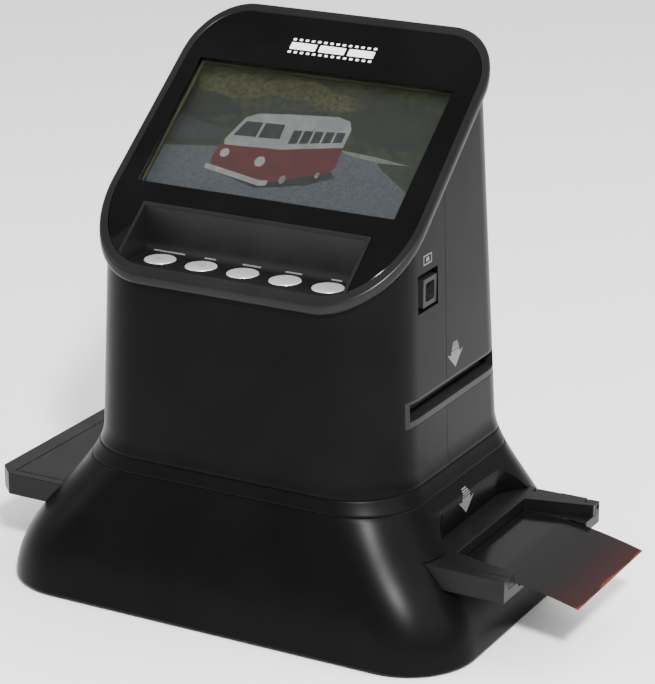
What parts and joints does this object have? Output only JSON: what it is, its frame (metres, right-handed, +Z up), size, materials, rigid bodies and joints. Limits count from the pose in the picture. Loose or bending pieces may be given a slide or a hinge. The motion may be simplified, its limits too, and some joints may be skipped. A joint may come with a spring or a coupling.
{
  "type": "film scanner with screen",
  "caption": "Desktop film and slide viewer: flared base with a sliding film tray, tower with a sloping screen, a well of push buttons, a format selector and a side slot for a film holder.",
  "frame": {"origin": "middle of the base's footprint, on the surface that the feet stand on", "axes": "+Z up, -Y towards the user, whom the screen and buttons face, +X to the user's right, along the film tray"},
  "size_m": [0.2491, 0.1358, 0.2163],
  "materials": {
    "casing": "fine matt moulded texture",
    "band": "matt",
    "rim": "satin",
    "slot_trim": "matt",
    "tray": "fine spark-eroded texture",
    "film": "processed film, clear and glossy",
    "cover_glass": "glossy cover",
    "mask": "matt black",
    "screen": "lit picture behind glass",
    "button": "satin silver paint",
    "circuit_board": "green solder mask",
    "component": "matt",
    "inner_plastic": "matt",
    "lamp_white": "matt white",
    "diffuser": "opal",
    "metal": "plated",
    "screw": "zinc",
    "lens_metal": "black anodised",
    "lens": "coated",
    "rubber": "matt"
  },
  "bodies": {
    "housing": {"base_plate": "inner_plastic", "skirt": "casing", "waist_band": "band", "front_shell": "casing", "rear_shell": "casing", "bezel": "rim", "face_glass": "cover_glass", "window_mask": "mask", "screen_gasket": "mask", "display": "screen", "display_plate": "metal", "control_well": "casing", "button_board": "circuit_board", "tact_switches": "component", "selector_switch": "component", "slot_frame_right": "slot_trim", "slot_frame_left": "slot_trim", "film_gate": "inner_plastic", "light_tunnel": "inner_plastic", "tray_guide": "inner_plastic", "lamp_housing": "lamp_white", "lamp_board": "lamp_white", "diffuser": "diffuser", "optics_plate": "inner_plastic", "lens_barrel": "lens_metal", "lens_glass": "lens", "sensor_housing": "component", "sensor_board": "circuit_board", "main_board": "circuit_board", "usb_socket": "metal", "card_socket": "metal", "foot_front_left": "rubber", "foot_front_right": "rubber", "foot_back_left": "rubber", "foot_back_right": "rubber", "base_screws": "screw", "board_screws": "screw"},
    "film_tray": {"tray_frame": "tray", "tray_lid": "tray", "hinge_pin": "metal", "film_strip": "film"},
    "mode_button": {"button_mode": "button"},
    "left_button": {"button_left": "button"},
    "power_button": {"button_power": "button"},
    "right_button": {"button_right": "button"},
    "ok_button": {"button_ok": "button"},
    "format_selector": {"format_knob": "slot_trim", "selector_link": "inner_plastic"}
  },
  "joints": [
    {"name": "tray_slide", "type": "slide", "parent": "housing", "child": "film_tray", "axis": [1, 0, 0], "range_m": [-0.03, 0.03]},
    {"name": "format_slide", "type": "slide", "parent": "housing", "child": "format_selector", "axis": [0, -1, 0], "range_m": [0, 0.003]},
    {"name": "mode_press", "type": "slide", "parent": "housing", "child": "mode_button", "axis": [0, 0, -1], "range_m": [0, 0.0005], "stiffness_N_per_m": 400},
    {"name": "left_press", "type": "slide", "parent": "housing", "child": "left_button", "axis": [0, 0, -1], "range_m": [0, 0.0005], "stiffness_N_per_m": 400},
    {"name": "power_press", "type": "slide", "parent": "housing", "child": "power_button", "axis": [0, 0, -1], "range_m": [0, 0.0005], "stiffness_N_per_m": 400},
    {"name": "right_press", "type": "slide", "parent": "housing", "child": "right_button", "axis": [0, 0, -1], "range_m": [0, 0.0005], "stiffness_N_per_m": 400},
    {"name": "ok_press", "type": "slide", "parent": "housing", "child": "ok_button", "axis": [0, 0, -1], "range_m": [0, 0.0005], "stiffness_N_per_m": 400}
  ]
}
